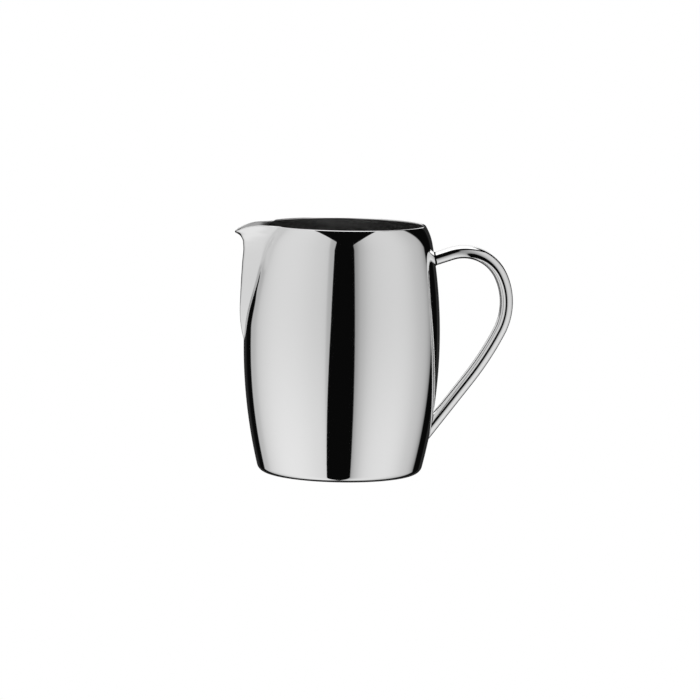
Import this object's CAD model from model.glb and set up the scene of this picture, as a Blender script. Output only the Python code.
"""Looks of the cream jug: mirror-polished sheet and rod, a satin inside, studio light.

Metres, in the CAD model's frame: the barrel's axis is Z, the jug stands on z = 0, the
spout points along -X and the handle stands out along +X. The jug's own sizes are given
in millimetres, and become metres as its meshes are made.
"""

import bpy
import numpy as np
from mathutils import Matrix, Vector


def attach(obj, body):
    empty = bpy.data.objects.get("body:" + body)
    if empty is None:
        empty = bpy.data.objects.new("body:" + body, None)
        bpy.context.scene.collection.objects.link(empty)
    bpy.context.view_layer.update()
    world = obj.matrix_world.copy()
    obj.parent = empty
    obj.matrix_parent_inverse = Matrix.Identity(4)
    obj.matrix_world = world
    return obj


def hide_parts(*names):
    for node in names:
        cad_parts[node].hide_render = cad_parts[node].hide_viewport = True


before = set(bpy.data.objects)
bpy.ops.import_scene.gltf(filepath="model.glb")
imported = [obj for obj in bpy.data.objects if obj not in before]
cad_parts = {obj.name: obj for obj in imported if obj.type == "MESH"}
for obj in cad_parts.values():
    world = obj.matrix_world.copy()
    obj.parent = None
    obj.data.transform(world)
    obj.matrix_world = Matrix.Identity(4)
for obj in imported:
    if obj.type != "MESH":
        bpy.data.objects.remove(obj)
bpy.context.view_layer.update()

MM = 0.001

# ---- sizes in millimetres, from the CAD model, a hair smaller to stay inside its box ----
WALL = 0.9                # thinner than in the CAD model, as the cut edge of the rim looks
RIM_HEIGHT = 93.95
BELLY_RADIUS = 37.04
BELLY_HEIGHT = 49.82
BARREL_CURVE = 198.0
FOOT_CURVE = 3.2
SHOULDER_HEIGHT = 87.0
SHOULDER_CURVE = 20.0
DISC_RADIUS = 25.0
DISC_GAP = 0.06           # half-width of the open joint round the bottom disc
SPOUT_START = 46.0
SPOUT_SPREAD = 2.4
LIP_START = 31.5
LIP_DROOP_CURVE = 17.5
ROD_RADIUS = 2.49

# Centres of the arcs of the barrel's outline, and where they meet.
SIDE_X = BELLY_RADIUS - BARREL_CURVE
CORNER_REACH = BARREL_CURVE - FOOT_CURVE
CORNER_X = SIDE_X + np.sqrt(CORNER_REACH**2 - (BELLY_HEIGHT - FOOT_CURVE) ** 2)
CORNER_TILT = np.degrees(np.arcsin((FOOT_CURVE - BELLY_HEIGHT) / CORNER_REACH))
CORNER_TOP = FOOT_CURVE + FOOT_CURVE * (FOOT_CURVE - BELLY_HEIGHT) / CORNER_REACH
TURN_SIN = (SHOULDER_HEIGHT - BELLY_HEIGHT) / BARREL_CURVE
SHOULDER_X = SIDE_X + (BARREL_CURVE - SHOULDER_CURVE) * np.sqrt(1 - TURN_SIN**2)
SHOULDER_Z = BELLY_HEIGHT + (BARREL_CURVE - SHOULDER_CURVE) * TURN_SIN

# Section of the spout at each height: the height, distance of the V's point from the axis,
# angle between a side of the V and the middle plane, how far the lip flares out, how far
# the barrel is drawn in beside the spout, and at what angle from the middle.
HEIGHT, POINT, HALF_ANGLE, FLARE, DRAW_IN, DRAW_IN_ANGLE = range(6)
SPOUT_SECTIONS = np.array((
    (44.0, 36.2, 50.0, 0.0, 0.0, 8.0),
    (48.0, 37.1, 50.0, 0.0, 0.0, 8.0),
    (50.2, 37.6, 50.0, 0.0, 0.0, 8.0),
    (53.0, 38.25, 52.0, 0.0, 0.0, 8.0),
    (56.0, 38.75, 54.0, 0.0, 0.0, 8.5),
    (60.0, 39.1, 55.5, 0.0, 0.15, 9.0),
    (66.5, 39.25, 57.0, 0.0, 0.55, 10.0),
    (72.0, 39.25, 57.0, 0.0, 0.85, 12.0),
    (79.0, 39.0, 55.5, 0.0, 1.1, 14.0),
    (86.0, 38.85, 52.5, 0.05, 1.6, 17.0),
    (88.0, 39.1, 51.0, 0.25, 1.75, 18.5),
    (90.0, 39.9, 48.0, 1.5, 1.95, 20.0),
    (91.0, 40.8, 45.5, 3.0, 2.05, 21.0),
    (92.0, 41.9, 42.0, 4.7, 2.15, 22.0),
    (94.0, 44.5, 35.0, 6.1, 2.4, 24.0),
))
KEEL_ROUND = 1.2          # radius along the front edge of the V, low down
LIP_ROUND = 2.4           # how much larger that radius is higher up
LIP_ROUND_CLIMB = (58.0, 74.0)        # heights between which it grows
LIP_FLARE_ANGLE = 5.0     # how far round from the middle the lip's flare reaches
DRAW_IN_SPREAD = 9.5      # how far round the drawing-in of the barrel reaches
CREASE_BLEND = 0.25       # softness of the crease between spout and barrel, low down
RIM_BLEND = 1.6           # how much softer the crease is at the rim
RIM_BLEND_CLIMB = (80.0, 92.0)        # heights between which it softens
RIM_ROLL = 0.8            # how far the lip's sides roll outwards at the rim
RIM_ROLL_START = 91.0
RIM_ROLL_END = 94.0
RIM_ROLL_ANGLE = 27.0     # how far round from the middle they do


# ---- outer surface of barrel and spout ------------------------------------------
def barrel_radius(z):
    """Outer radius of the plain barrel at height z."""
    side = SIDE_X + np.sqrt(BARREL_CURVE**2 - (z - BELLY_HEIGHT) ** 2)
    shoulder = SHOULDER_X + np.sqrt(np.maximum(SHOULDER_CURVE**2 - (z - SHOULDER_Z) ** 2, 0))
    corner = CORNER_X + np.sqrt(np.maximum(FOOT_CURVE**2 - (z - FOOT_CURVE) ** 2, 0))
    return np.where(z > SHOULDER_HEIGHT, shoulder, np.where(z < CORNER_TOP, corner, side))


def smooth_table(z, column):
    """Value of one column of SPOUT_SECTIONS at height z, on a smooth curve."""
    knots = SPOUT_SECTIONS[:, HEIGHT]
    values = SPOUT_SECTIONS[:, column]
    slopes = np.gradient(values, knots)
    z = np.clip(z, knots[0], knots[-1])
    i = np.clip(np.searchsorted(knots, z) - 1, 0, len(knots) - 2)
    step = knots[i + 1] - knots[i]
    t = (z - knots[i]) / step
    return (
        values[i] * (2 * t**3 - 3 * t**2 + 1)
        + slopes[i] * step * (t**3 - 2 * t**2 + t)
        + values[i + 1] * (3 * t**2 - 2 * t**3)
        + slopes[i + 1] * step * (t**3 - t**2)
    )


def climb(z, low, high):
    """0 at height low, 1 at height high and smooth between."""
    t = np.clip((z - low) / (high - low), 0, 1)
    return t**2 * (3 - 2 * t)


def spout_radius(angle, z):
    """Distance of the V-shaped spout from the axis; angle is from -X, in radians."""
    half = np.radians(smooth_table(z, HALF_ANGLE))
    point = smooth_table(z, POINT)
    nose = KEEL_ROUND + LIP_ROUND * climb(z, *LIP_ROUND_CLIMB)
    flare = smooth_table(z, FLARE) * np.exp(-((np.degrees(angle) / LIP_FLARE_ANGLE) ** 2))
    angle = np.minimum(np.abs(angle), np.pi / 2 - half)
    centre = point - nose / np.sin(half)
    straight = point * np.sin(half) / np.sin(half + angle)
    meet = np.arctan2(nose * np.cos(half), centre + nose * np.sin(half))
    inside = np.maximum(nose**2 - (centre * np.sin(angle)) ** 2, 0)
    rounded = centre * np.cos(angle) + np.sqrt(inside)
    return np.where(angle < meet, rounded, straight) + flare


def skin_radius(angle, z):
    """Distance of the jug's outer face from the axis at an angle and a height."""
    offset = (np.degrees(np.abs(angle)) - smooth_table(z, DRAW_IN_ANGLE)) / DRAW_IN_SPREAD
    barrel = barrel_radius(z) - smooth_table(z, DRAW_IN) * np.exp(-(offset**2))
    spout = spout_radius(angle, z)
    soft = CREASE_BLEND + RIM_BLEND * climb(z, *RIM_BLEND_CLIMB)
    blend = np.maximum(soft - np.abs(barrel - spout), 0) / soft
    rolled = np.clip((z - RIM_ROLL_START) / (RIM_ROLL_END - RIM_ROLL_START), 0, 1) ** 2
    roll = RIM_ROLL * rolled * np.exp(-((np.degrees(angle) / RIM_ROLL_ANGLE) ** 4))
    joined = np.maximum(barrel, spout) + blend**2 * soft / 4 + roll
    return np.where(z < SPOUT_START, barrel, joined)


def skin_point(angle, z):
    """Point on the outer face, in millimetres; angle is from -X towards -Y."""
    r = skin_radius(angle, z)
    return np.stack([-r * np.cos(angle), -r * np.sin(angle), z + 0 * r], axis=-1)


def unit(v):
    return v / np.linalg.norm(v, axis=-1, keepdims=True)


def skin_normal(angle, z):
    """Outward normal of the outer face, and the direction up the face."""
    step = 1e-4
    across = skin_point(angle + step, z) - skin_point(angle - step, z)
    up = skin_point(angle, z + step) - skin_point(angle, z - step)
    return unit(np.cross(across, up)), unit(up)


def wrap(angle):
    """Angle folded into -pi..pi, so that the spout's middle is at zero."""
    return (angle + np.pi) % (2 * np.pi) - np.pi


SEAM_STEPS = 30           # steps that settle the seam's angle
RIM_STEPS = 40            # halvings that find where the outer face stops
RIM_LOWEST = 84.0         # height below which the rim never droops


def seam_angle(z):
    """Half-angle of the cut-out that the spout is let into, found by repeated steps."""
    half_width = SPOUT_SPREAD * np.sqrt(np.maximum(z - SPOUT_START, 0))
    angle = half_width / BELLY_RADIUS
    for _ in range(SEAM_STEPS):
        angle = np.arcsin(half_width / skin_radius(angle, z))
    return angle


def rim_line(reach):
    """Height of the rim at a distance from the axis towards the spout."""
    steepest = 0.9 * LIP_DROOP_CURVE
    past = np.clip(reach - LIP_START, 0, steepest)
    return RIM_HEIGHT - LIP_DROOP_CURVE + np.sqrt(LIP_DROOP_CURVE**2 - past**2)


def rim_stop(fraction):
    """Height where the outer face stops under the rounded rim, at a fraction of the
    spout's half-width, or at 1 for the whole barrel."""
    low, high = np.full_like(fraction, RIM_LOWEST), np.full_like(fraction, RIM_HEIGHT)
    for _ in range(RIM_STEPS):
        z = (low + high) / 2
        angle = fraction * seam_angle(z)
        normal, _up = skin_normal(angle, z)
        reach = skin_radius(angle, z) * np.cos(angle)
        over = z > rim_line(reach) - WALL / 2 * (1 - normal[..., 2])
        low, high = np.where(over, low, z), np.where(over, z, high)
    return low


# ---- meshes ---------------------------------------------------------------------
def make_piece(name, stands_for, points, normals, faces, looks, slots=None):
    """A smooth mesh object with its own normals, which rides on the jug."""
    mesh = bpy.data.meshes.new(name)
    mesh.from_pydata((points * MM).tolist(), [], faces)
    for look in looks:
        mesh.materials.append(look)
    if slots is not None:
        mesh.polygons.foreach_set("material_index", slots)
    mesh.polygons.foreach_set("use_smooth", [True] * len(mesh.polygons))
    mesh.update()
    mesh.normals_split_custom_set_from_vertices(normals.tolist())
    piece = bpy.data.objects.new(name, mesh)
    bpy.context.collection.objects.link(piece)
    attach(piece, "root")
    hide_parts(stands_for)
    return piece


def grid_faces(rows, cols, wrap_rows, wrap_cols):
    """Quads of a grid whose vertex i, j has the index i * cols + j."""
    faces = []
    for i in range(rows if wrap_rows else rows - 1):
        for j in range(cols if wrap_cols else cols - 1):
            i2, j2 = (i + 1) % rows, (j + 1) % cols
            faces.append((i * cols + j, i * cols + j2, i2 * cols + j2, i2 * cols + j))
    return faces


RIM_ROWS = 9              # rows of the half-round over the rim
UPPER_ROWS = 105          # rows of the outer face from the start of the spout to the rim
UPPER_CROWDING = 1.35     # how much closer those rows stand near the rim
BODY_COLUMNS = 241
SPOUT_COLUMNS = 161
POLISHED, SATIN = 0, 1    # materials of a wall: its outer face and its inner one


def rim_rows(point, normal, up):
    """The half-round over the rim, from the outer face to the inner one."""
    rows, row_normals = [], []
    for turn in np.radians(np.linspace(0, 180, RIM_ROWS)):
        direction = np.cos(turn) * normal + np.sin(turn) * up
        rows.append(point + WALL / 2 * (direction - normal))
        row_normals.append(direction)
    return rows, row_normals


def upper_rows(angle_of, stops):
    """Rows of the outer face from the start of the spout up to the rim."""
    share = 1 - (1 - np.linspace(0, 1, UPPER_ROWS)) ** UPPER_CROWDING
    rows, normals = [], []
    for s in share:
        z = SPOUT_START + s * (stops - SPOUT_START)
        angle = angle_of(z)
        normal, up = skin_normal(angle, z)
        rows.append(skin_point(angle, z))
        normals.append(normal)
    return rows, normals, up


def sheet_mesh(rows, normals, up, seam_from):
    """A wall of sheet from the rows of its outer face, whose last ends under the rim and
    rises along up. Its sides are closed from row seam_from upwards."""
    cols, outer = len(rows[0]), len(rows)
    over, over_normals = rim_rows(rows[-1], normals[-1], up)
    inner = [p - WALL * n for p, n in zip(rows, normals)]
    all_rows = rows + over[1:-1] + inner[::-1]
    all_normals = normals + over_normals[1:-1] + [-n for n in normals[::-1]]
    total = len(all_rows)
    faces = grid_faces(total, cols, True, False)
    polished_rows = outer + RIM_ROWS // 2
    slots = [POLISHED if i < polished_rows else SATIN
             for i in range(total) for _ in range(cols - 1)]
    for side in (0, cols - 1):
        for i in range(seam_from, outer - 1):
            j = total - 1 - i
            quad = (i * cols + side, (i + 1) * cols + side,
                    (j - 1) * cols + side, j * cols + side)
            faces.append(quad if side else quad[::-1])
            slots.append(POLISHED)
        cap = [i * cols + side for i in range(outer - 1, outer - 1 + RIM_ROWS)]
        faces.append(tuple(cap if side else cap[::-1]))
        slots.append(POLISHED)
    return np.concatenate(all_rows), np.concatenate(all_normals), faces, slots


def body_mesh():
    """Barrel wall: both faces, the rim and the turned-in edge under it."""
    cols = BODY_COLUMNS
    turn = np.linspace(0, 1, cols)
    around = np.stack([-np.cos(turn * 2 * np.pi), -np.sin(turn * 2 * np.pi)], axis=-1)
    rows, normals = [], []
    for r in (DISC_RADIUS + DISC_GAP, DISC_RADIUS + 0.25, CORNER_X - 0.3):
        rows.append(np.column_stack([around * r, np.zeros(cols)]))
        normals.append(np.tile((0.0, 0.0, -1.0), (cols, 1)))
    for tilt in np.radians(np.linspace(-90, CORNER_TILT, 16)):
        r, z = CORNER_X + FOOT_CURVE * np.cos(tilt), FOOT_CURVE * (1 + np.sin(tilt))
        rows.append(np.column_stack([around * r, np.full(cols, z)]))
        normals.append(np.column_stack([around * np.cos(tilt), np.full(cols, np.sin(tilt))]))
    whole_turn = wrap(turn * 2 * np.pi)
    for z in np.linspace(FOOT_CURVE + 0.2, SPOUT_START - 0.6, 43):
        rows.append(skin_point(whole_turn, np.full(cols, z)))
        normals.append(skin_normal(whole_turn, np.full(cols, z))[0])
    seam_from = len(rows)

    def angle_of(z):
        seam = seam_angle(z)
        return wrap(seam + turn * (2 * np.pi - 2 * seam))

    stops = np.full(cols, rim_stop(np.ones(1))[0])
    upper, upper_normals, up = upper_rows(angle_of, stops)
    points, vertex_normals, faces, slots = sheet_mesh(
        rows + upper, normals + upper_normals, up, seam_from
    )
    # Under the cut-out the wall is whole, so its first and last columns are one.
    total = len(points) // cols
    whole = {i * cols + cols - 1: i * cols for i in range(total)
             if i < seam_from + 1 or i >= total - seam_from - 1}
    faces = [tuple(whole.get(v, v) for v in face) for face in faces]
    return points, vertex_normals, faces, slots


def spout_mesh():
    """Pouring lip: both faces and the drooping rim."""
    fraction = np.linspace(-1, 1, SPOUT_COLUMNS)
    stops = rim_stop(np.abs(fraction))
    stops[0] = stops[-1] = rim_stop(np.ones(1))[0]
    rows, normals, up = upper_rows(lambda z: fraction * seam_angle(z), stops)
    return sheet_mesh(rows, normals, up, 0)


def disc_mesh():
    """Bottom disc with a fine rounded edge."""
    cols = 180
    middle, ring, edge, edge_round = 0.5, 12.0, DISC_RADIUS - DISC_GAP, 0.2
    profile = [(middle, 0.0), (ring, 0.0), (edge - 0.3, 0.0)]
    slopes = [(0.0, -1.0)] * 3
    for tilt in np.radians(np.linspace(-90, 0, 6)):
        profile.append((edge - edge_round + edge_round * np.cos(tilt),
                        edge_round + edge_round * np.sin(tilt)))
        slopes.append((np.cos(tilt), np.sin(tilt)))
    profile += [(edge, WALL - 0.05), (edge - 0.05, WALL), (ring, WALL), (middle, WALL)]
    slopes += [(1.0, 0.0), (0.0, 1.0), (0.0, 1.0), (0.0, 1.0)]
    turn = np.linspace(0, 2 * np.pi, cols, endpoint=False)

    def turned(pairs):
        """Each pair (r, z), carried round the axis."""
        return np.concatenate([
            np.stack([r * np.cos(turn), r * np.sin(turn), z + 0 * turn], axis=-1)
            for r, z in pairs
        ])

    faces = [face[::-1] for face in grid_faces(len(profile), cols, False, True)]
    last = (len(profile) - 1) * cols
    faces.append(tuple(range(cols)))
    faces.append(tuple(last + j for j in range(cols))[::-1])
    return turned(profile), turned(slopes), faces


# ---- handle ---------------------------------------------------------------------
# The rod's route in the XZ plane, repeated from the CAD model: where it leaves the wall,
# its rise there, and then the length and the turn, in degrees, of each stretch.
ROOT = (34.4, 80.85)
ROOT_RISE = 18.0
STRETCHES = (
    (7.0, 0.0),
    (15.9 * np.radians(81.5), -81.5),
    (23.9 * np.radians(53.7), -53.7),
    (120.0 * np.radians(10.4), -10.4),
    (36.0, 0.0),
)
STRANDS = 56              # strands round the rod, each a column of its mesh
ROD_ROWS = 421
ROD_SINK = 0.45           # how deep the rod's ends sink into the wall
WELD_REACH = 1.0          # width of a weld along the rod and along the wall
WELD_SINK = 0.03          # how deep a weld's edges lie in the rod and the wall
WELD_ROOT = 0.15          # how deep its hidden side lies behind the corner


def route(along):
    """Centre of the rod and its heading, in radians, at a distance along the rod."""
    x, z = ROOT[0] + 0 * along, ROOT[1] + 0 * along
    heading = np.radians(ROOT_RISE) + 0 * along
    left = along
    for place, (length, turn) in enumerate(STRETCHES):
        run = left if place == 0 else np.maximum(left, 0)
        run = np.minimum(run, length)
        bend = np.radians(turn) * run / length
        mean = heading + bend / 2
        chord = run * np.sinc(bend / 2 / np.pi)
        x, z = x + chord * np.cos(mean), z + chord * np.sin(mean)
        heading = heading + bend
        left = left - length
    return np.stack([x, 0 * x, z], axis=-1), heading


def rod_dirs(heading, turn):
    """Direction from the rod's centre to each strand."""
    up = np.stack([-np.sin(heading), 0 * heading, np.cos(heading)], axis=-1)
    side = np.array((0.0, -1.0, 0.0))
    return np.cos(turn)[..., None] * up + np.sin(turn)[..., None] * side


def strand_ends(depth):
    """How far along the rod each strand reaches a depth under the barrel's face."""
    turns = np.linspace(0, 2 * np.pi, STRANDS, endpoint=False)
    before = 4            # the search starts this far inside the wall
    along = np.linspace(-before, sum(length for length, _ in STRETCHES), 5000)
    centre, heading = route(along)
    starts, ends = [], []
    for turn in turns:
        strand = centre + ROD_RADIUS * rod_dirs(heading, np.full_like(along, turn))
        out = np.hypot(strand[:, 0], strand[:, 1]) - barrel_radius(strand[:, 2]) + depth
        half = len(along) // 2
        starts.append(along[np.nonzero(out[:half] < 0)[0][-1]])
        ends.append(along[half + np.nonzero(out[half:] < 0)[0][0]])
    return turns, np.array(starts), np.array(ends)


def handle_mesh():
    """Round rod along the route, its ends sunk half-way into the wall."""
    turns, starts, ends = strand_ends(ROD_SINK)
    rows, normals = [], []
    for share in np.linspace(0, 1, ROD_ROWS):
        along = starts + share * (ends - starts)
        centre, heading = route(along)
        outward = rod_dirs(heading, turns)
        rows.append(centre + ROD_RADIUS * outward)
        normals.append(outward)
    faces = grid_faces(len(rows), STRANDS, False, True)
    last = (len(rows) - 1) * STRANDS
    faces.append(tuple(range(STRANDS))[::-1])
    faces.append(tuple(last + j for j in range(STRANDS)))
    return np.concatenate(rows), np.concatenate(normals), faces


def weld_mesh(upper):
    """Hollow bead in the corner between the rod and the barrel, round one end. Its edge
    wavers a little, as a ground weld's does."""
    turns, starts, ends = strand_ends(0.0)
    contact, away = (starts, 1) if upper else (ends, -1)
    reach = WELD_REACH * (1 + 0.10 * np.sin(3 * turns + 0.7) + 0.06 * np.sin(7 * turns))
    centre, heading = route(contact)
    outward = rod_dirs(heading, turns)
    corner = centre + ROD_RADIUS * outward
    far_centre, far_heading = route(contact + away * reach)
    on_rod = far_centre + (ROD_RADIUS - WELD_SINK) * rod_dirs(far_heading, turns)
    around = np.arctan2(-corner[:, 1], -corner[:, 0])
    wall_normal, _up = skin_normal(around, corner[:, 2])
    drift = outward - (outward * wall_normal).sum(-1)[:, None] * wall_normal
    on_wall = corner + reach[:, None] * unit(drift)
    wall_reach = barrel_radius(on_wall[:, 2]) - WELD_SINK
    on_wall[:, :2] *= (wall_reach / np.hypot(on_wall[:, 0], on_wall[:, 1]))[:, None]
    rows, normals = [], []
    for t in np.linspace(0, 1, 9):
        point = (1 - t) ** 2 * on_rod + 2 * t * (1 - t) * corner + t**2 * on_wall
        rows.append(point)
        normals.append(unit((1 - t) * outward + t * wall_normal))
    rows.append(corner - WELD_ROOT * wall_normal - WELD_ROOT * outward)
    normals.append(-unit(outward + wall_normal))
    faces = grid_faces(len(rows), STRANDS, True, True)
    if not upper:
        faces = [face[::-1] for face in faces]
    return np.concatenate(rows), np.concatenate(normals), faces


# ---- camera ---------------------------------------------------------------------
TURN = 7.5                # how far the jug is turned about its axis, spout to the camera
PITCH = 6.784             # how far the camera looks down, in degrees
ROLL = 1.097              # how far the picture is rolled, in degrees
DISTANCE = 1347.8         # from the camera to the point it aims at, in millimetres
AIM = Vector((3.18, 0.0, 46.25))
LENS = 183.4              # focal length, in millimetres on a sensor 36 wide

scene = bpy.context.scene
scene.view_settings.view_transform = "Standard"
scene.view_settings.look = "None"

camera_data = bpy.data.cameras.new("camera")
camera_data.sensor_width = 36.0
camera_data.lens = LENS
camera_data.clip_start = 0.05
camera_data.clip_end = 20.0
camera = bpy.data.objects.new("camera", camera_data)
bpy.context.collection.objects.link(camera)
camera.matrix_world = (
    Matrix.Rotation(-np.radians(TURN), 4, "Z")
    @ Matrix.Translation(AIM * MM)
    @ Matrix.Rotation(np.pi / 2 - np.radians(PITCH), 4, "X")
    @ Matrix.Rotation(np.radians(ROLL), 4, "Z")
    @ Matrix.Translation(Vector((0, 0, DISTANCE * MM)))
)
scene.camera = camera


# ---- studio ---------------------------------------------------------------------
def linear(level):
    """Linear light for a display level of 0 to 255."""
    value = level / 255
    return value / 12.92 if value <= 0.04045 else ((value + 0.055) / 1.055) ** 2.4


class Nodes:
    """Short hand for building a node tree."""

    def __init__(self, tree):
        self.tree = tree
        tree.nodes.clear()

    def add(self, kind, inputs=(), **settings):
        node = self.tree.nodes.new(kind)
        for name, value in settings.items():
            setattr(node, name, value)
        for key, value in dict(inputs).items():
            if isinstance(value, bpy.types.NodeSocket):
                self.tree.links.new(value, node.inputs[key])
            else:
                node.inputs[key].default_value = value
        return node

    def math(self, operation, a, b=0.0, c=0.0):
        node = self.add("ShaderNodeMath", {0: a, 1: b, 2: c}, operation=operation)
        return node.outputs[0]

    def plus(self, base, *terms):
        """base, plus a value times its factor for each of the terms."""
        total = base
        for value, factor in terms:
            total = self.math("MULTIPLY_ADD", value, factor, total)
        return total

    def step(self, value, low, high):
        """0 below low, 1 above high and smooth between; low may be above high."""
        inputs = {"Value": value, "From Min": low, "From Max": high}
        node = self.add("ShaderNodeMapRange", inputs, interpolation_type="SMOOTHSTEP")
        return node.outputs["Result"]

    def curve(self, value, points, top):
        """A smooth curve through the points, over 0 to 180, with values up to top."""
        node = self.add("ShaderNodeFloatCurve", {"Value": self.math("DIVIDE", value, 180.0)})
        curve = node.mapping.curves[0]
        for x, y in points:
            curve.points.new(x / 180, y / top)
        curve.points.remove(curve.points[0])
        curve.points.remove(curve.points[-1])
        node.mapping.update()
        return self.math("MULTIPLY", node.outputs[0], top)


METAL = 0.92              # how much of the light the polished metal gives back

# Brightness of the two light tents by direction, at the level of the jug: degrees to
# the left or right of the camera's side, and the display level of their reflection.
LEFT_TENT = ((0, 165), (16, 177), (20, 201), (25, 206), (35, 210), (45, 214), (60, 218),
             (84, 218), (98, 213), (113, 202), (133, 176), (145, 196), (180, 205))
RIGHT_TENT = ((0, 120), (14, 140), (17, 151), (22, 175), (27, 187), (32, 197), (42, 207),
              (57, 212), (74, 212), (87, 206), (100, 195), (116, 181), (126, 152),
              (133, 120), (180, 90))

GAP_LEVEL = 9             # display level of the dark gap between the tents
STRIPE_LEVEL = 62         # display level that is added by the stripes behind the jug
FAR_END_LEVEL = 202       # least display level of the left tent's far end, from the level up
OVERHEAD_LIGHT = 1.3      # strength of the light straight above


def studio():
    """Light tents round the jug with a dark gap at the camera, as a world shader.

    A tent spans the directions from its inner edge, beside the gap, to its outer edge,
    behind the jug. Bearings are in degrees from the camera's side, positive to the
    right, and rise is in degrees above the level."""
    world = bpy.data.worlds.new("studio")
    scene.world = world
    world.use_nodes = True
    n = Nodes(world.node_tree)
    look = n.add("ShaderNodeTexCoord").outputs["Generated"]
    turned = n.add(
        "ShaderNodeVectorRotate",
        {"Vector": look, "Angle": np.radians(TURN)},
        rotation_type="Z_AXIS",
    ).outputs[0]
    x, y, z = n.add("ShaderNodeSeparateXYZ", {0: turned}).outputs
    bearing = n.math("DEGREES", n.math("ARCTAN2", x, n.math("MULTIPLY", y, -1.0)))
    rise = n.math("DEGREES", n.math("ARCSINE", z))
    away = n.math("ABSOLUTE", bearing)
    above = n.math("MAXIMUM", rise, 0.0)
    below = n.math("MAXIMUM", n.math("MULTIPLY", rise, -1.0), 0.0)

    def tent(levels, side, inner, soft, outer, top_slope, top_bearing, roof):
        """Light of one tent. Soft is how far its inner edge spreads to each side. Its top
        is a slope, highest at top_bearing, and where roof is above zero the light also
        fills the part above that slope."""
        level = n.curve(away, [(a, linear(v) / METAL) for a, v in levels], 1.0)
        turn = np.radians(top_bearing)
        ahead = n.math("ADD", n.math("MULTIPLY", x, float(np.sin(turn))),
                       n.math("MULTIPLY", y, -float(np.cos(turn))))
        under_top = n.math("SUBTRACT", n.math("MULTIPLY", ahead, top_slope), z)
        under_top = n.math("MAXIMUM", under_top, roof)
        mask = n.step(n.math("MULTIPLY", bearing, float(side)),
                      n.math("SUBTRACT", inner, soft[0]), n.math("ADD", inner, soft[1]))
        mask = n.math("MULTIPLY", mask, n.step(n.math("SUBTRACT", away, outer), 1.5, -1.5))
        mask = n.math("MULTIPLY", mask, n.step(under_top, -0.006, 0.006))
        return n.math("MULTIPLY", mask, level)

    # The left tent has a roof over its far part, nearly to straight above, and the right
    # one has none.
    roofed = n.math("MULTIPLY_ADD", n.step(bearing, -62.0, -66.0), 2.0, -1.0)
    left_roof = n.math("MINIMUM", roofed, n.math("SUBTRACT", 0.985, z))
    left_inner = n.plus(12.85, (below, 0.17), (above, -0.09))
    left_outer = n.plus(134.2, (n.step(rise, -2.0, 5.0), 26.0))
    left = tent(LEFT_TENT, side=-1, inner=left_inner, soft=(0.4, 0.4), outer=left_outer,
                top_slope=1.35, top_bearing=-70, roof=left_roof)
    right_inner = n.plus(14.9, (below, 0.05), (above, -0.05))
    right_outer = n.plus(130.0, (above, -0.62))
    right = tent(RIGHT_TENT, side=1, inner=right_inner, soft=(0.5, 1.0), outer=right_outer,
                 top_slope=1.33, top_bearing=80, roof=-1.0)

    # From the level upwards, the far end of the left tent is nearly as bright as its middle.
    far_end = n.math("MULTIPLY", n.step(away, 95.0, 112.0), n.step(rise, -3.0, 5.0))
    far_end = n.math("MULTIPLY", far_end, n.step(left, 0.0, 0.4))
    far_end = n.math("MULTIPLY", far_end, linear(FAR_END_LEVEL) / METAL)
    tents = n.math("ADD", n.math("MAXIMUM", left, far_end), right)
    # Both are a little brighter low down.
    tents = n.math("MULTIPLY", tents, n.plus(0.95, (n.step(rise, 5.0, -30.0), 0.14)))
    overhead = n.math("MULTIPLY", n.step(rise, 58.0, 66.0), OVERHEAD_LIGHT)

    # Behind the jug are faint upright stripes, and a bright backdrop over them.
    stripes = n.add("ShaderNodeTexNoise", {"W": bearing, "Scale": 0.35, "Detail": 2.0},
                    noise_dimensions="1D").outputs["Fac"]
    behind = n.math("MULTIPLY", n.step(away, 146.0, 158.0), n.step(stripes, 0.3, 0.7))
    dark = n.plus(linear(GAP_LEVEL), (behind, linear(STRIPE_LEVEL)))
    backdrop = n.math("MULTIPLY", n.step(away, 148.0, 154.0), n.step(rise, 11.0, 14.0))
    dark = n.math("MAXIMUM", dark, backdrop)

    light = n.math("MAXIMUM", n.math("MAXIMUM", tents, overhead), dark)
    seen = n.add("ShaderNodeLightPath").outputs["Is Camera Ray"]
    strength = n.add("ShaderNodeMix", {0: seen, 2: light, 3: 1.0}).outputs[0]
    shine = n.add("ShaderNodeBackground", {"Color": (1, 1, 1, 1), "Strength": strength})
    n.add("ShaderNodeOutputWorld", {"Surface": shine.outputs[0]})


studio()

# The floor lies just under the jug, is white to the camera and has no part in the light.
FLOOR_REACH = 2
floor_mesh = bpy.data.meshes.new("floor")
floor_corners = [(x * FLOOR_REACH, y * FLOOR_REACH, 0)
                 for x, y in ((-1, -1), (1, -1), (1, 1), (-1, 1))]
floor_mesh.from_pydata(floor_corners, [], [(0, 1, 2, 3)])
floor = bpy.data.objects.new("floor", floor_mesh)
floor.location.z = -0.0005
bpy.context.collection.objects.link(floor)
floor.visible_glossy = False
floor.visible_diffuse = False
floor.visible_shadow = False


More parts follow.
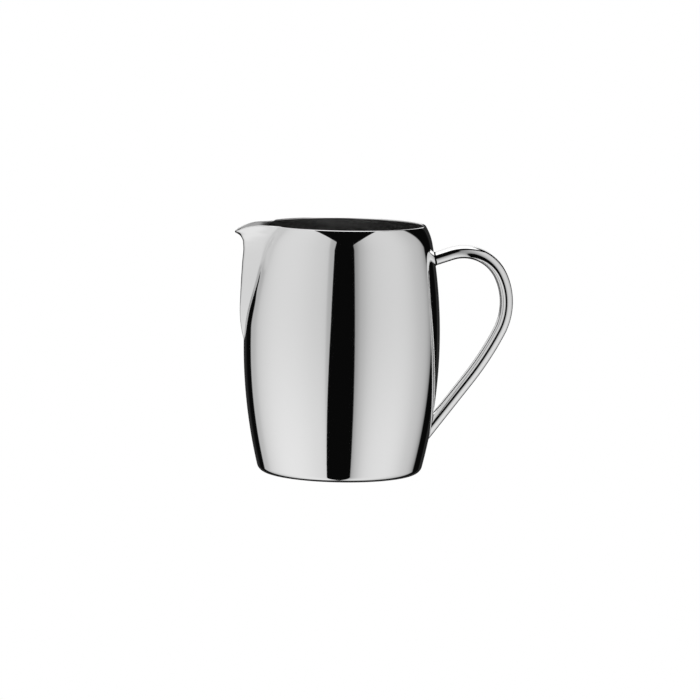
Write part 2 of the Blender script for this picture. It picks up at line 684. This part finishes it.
# ---- materials ------------------------------------------------------------------
def metal(name, colour, rough, rough_spread, streaks, bump, scale):
    """Polished or brushed steel. Its grain varies the roughness by rough_spread, and
    gives a bump of a strength and a depth in metres. Scale is the grain's fineness, and
    streaks is how much finer it is along the axis, which draws it out round the barrel."""
    material = bpy.data.materials.new(name)
    material.use_nodes = True
    n = Nodes(material.node_tree)
    place = n.add("ShaderNodeTexCoord").outputs["Object"]
    stretched = n.add(
        "ShaderNodeMapping", {"Vector": place, "Scale": (scale, scale, scale * streaks)}
    ).outputs[0]
    grain = n.add(
        "ShaderNodeTexNoise", {"Vector": stretched, "Scale": 1.0, "Detail": 4.0}
    ).outputs["Fac"]
    roughness = n.plus(rough - rough_spread / 2, (grain, rough_spread))
    strength, depth = bump
    relief = n.add(
        "ShaderNodeBump", {"Height": grain, "Strength": strength, "Distance": depth}
    ).outputs[0]
    shader = n.add("ShaderNodeBsdfPrincipled", {
        "Base Color": colour,
        "Metallic": 1.0,
        "Roughness": roughness,
        "Normal": relief,
    })
    n.add("ShaderNodeOutputMaterial", {"Surface": shader.outputs[0]})
    return material


STEEL = (METAL, METAL, METAL, 1.0)
polished_sheet = metal("polished_sheet", STEEL, rough=0.035, rough_spread=0.02,
                       streaks=1.0, bump=(0.02, 0.00005), scale=900.0)
satin_sheet = metal("satin_sheet", (0.62, 0.62, 0.62, 1.0), rough=0.32, rough_spread=0.12,
                    streaks=30.0, bump=(0.25, 0.0001), scale=120.0)
polished_rod = metal("polished_rod", STEEL, rough=0.05, rough_spread=0.02,
                     streaks=1.0, bump=(0.03, 0.00005), scale=900.0)
weld_metal = metal("weld", (0.80, 0.80, 0.80, 1.0), rough=0.16, rough_spread=0.10,
                   streaks=1.0, bump=(0.3, 0.0001), scale=1500.0)
floor_white = bpy.data.materials.new("floor_white")
floor_white.use_nodes = True
floor_nodes = Nodes(floor_white.node_tree)
glow = floor_nodes.add("ShaderNodeEmission", {"Color": (1, 1, 1, 1), "Strength": 1.0})
floor_nodes.add("ShaderNodeOutputMaterial", {"Surface": glow.outputs[0]})
floor_mesh.materials.append(floor_white)

# ---- the jug --------------------------------------------------------------------
points, normals, faces, slots = body_mesh()
make_piece("barrel", "body_shell", points, normals, faces,
           [polished_sheet, satin_sheet], slots)
points, normals, faces, slots = spout_mesh()
make_piece("pouring_lip", "spout", points, normals, faces,
           [polished_sheet, satin_sheet], slots)
points, normals, faces = handle_mesh()
make_piece("rod_handle", "handle", points, normals, faces, [polished_rod])
for name, stands_for, upper in (
    ("weld_upper", "upper_handle_weld", True),
    ("weld_lower", "lower_handle_weld", False),
):
    points, normals, faces = weld_mesh(upper)
    make_piece(name, stands_for, points, normals, faces, [weld_metal])
points, normals, faces = disc_mesh()
make_piece("bottom_disc", "base_disc", points, normals, faces, [satin_sheet])
